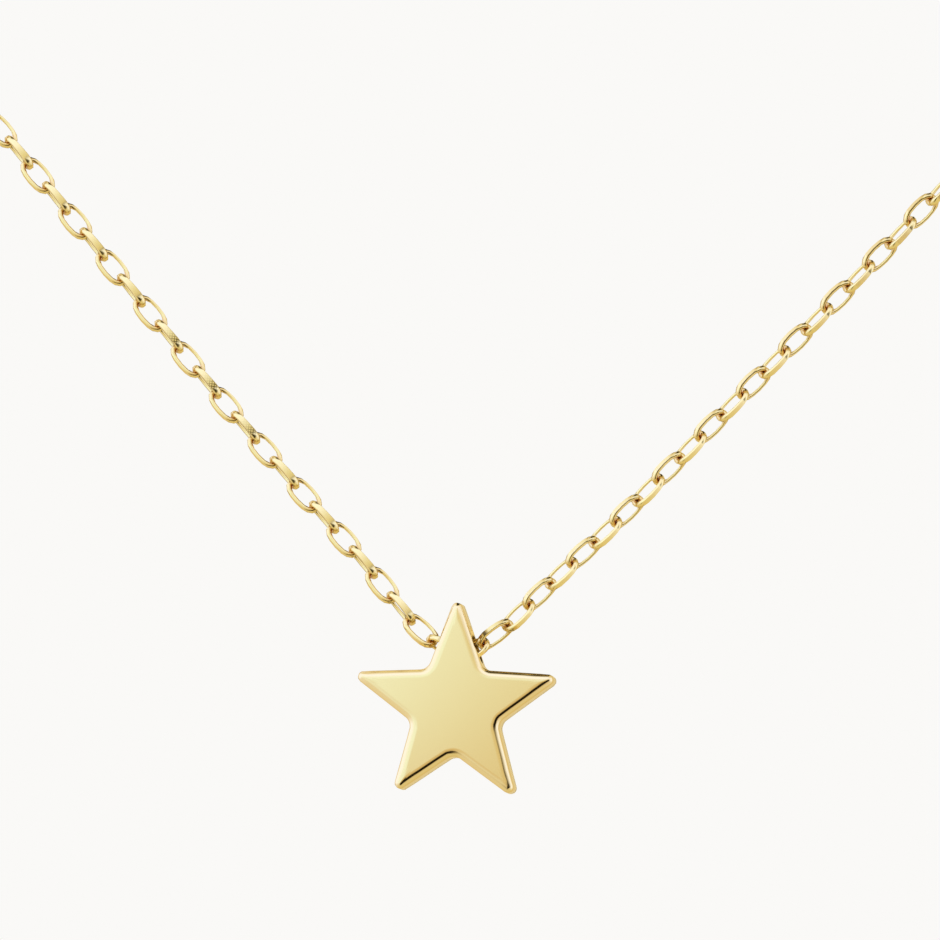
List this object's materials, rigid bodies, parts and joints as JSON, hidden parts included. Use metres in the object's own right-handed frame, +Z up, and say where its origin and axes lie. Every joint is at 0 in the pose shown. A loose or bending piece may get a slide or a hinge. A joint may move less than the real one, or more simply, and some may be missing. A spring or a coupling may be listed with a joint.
{
  "type": "star pendant necklace",
  "caption": "Thick polished five-pointed star with rolled edges, threaded on a fine oval cable chain that closes in a whole neck loop with a plain clasp.",
  "frame": {"origin": "middle of the clasp, where the chain lies on the nape of the neck", "axes": "+Z up; the star's face looks along -Y, away from the chest; X runs across the neck, and the star hangs below and in front of the origin"},
  "size_m": [0.1122, 0.0955, 0.0854],
  "materials": {
    "polished_gold": "mirror-polished yellow gold plate",
    "filed_gold": "drawn wire with filed bright facets, yellow gold plate",
    "clasp_gold": "polished yellow gold plate"
  },
  "bodies": {
    "chain": {"chain_left": "filed_gold", "chain_right": "filed_gold", "clasp": "clasp_gold"},
    "pendant": {"star_pendant": "polished_gold"}
  },
  "joints": [
    {"name": "pendant_swing", "type": "hinge", "parent": "chain", "child": "pendant", "pos_m": [0, -0.0934, -0.0757], "axis": [1, 0, 0], "range_deg": [-25, 25]}
  ]
}
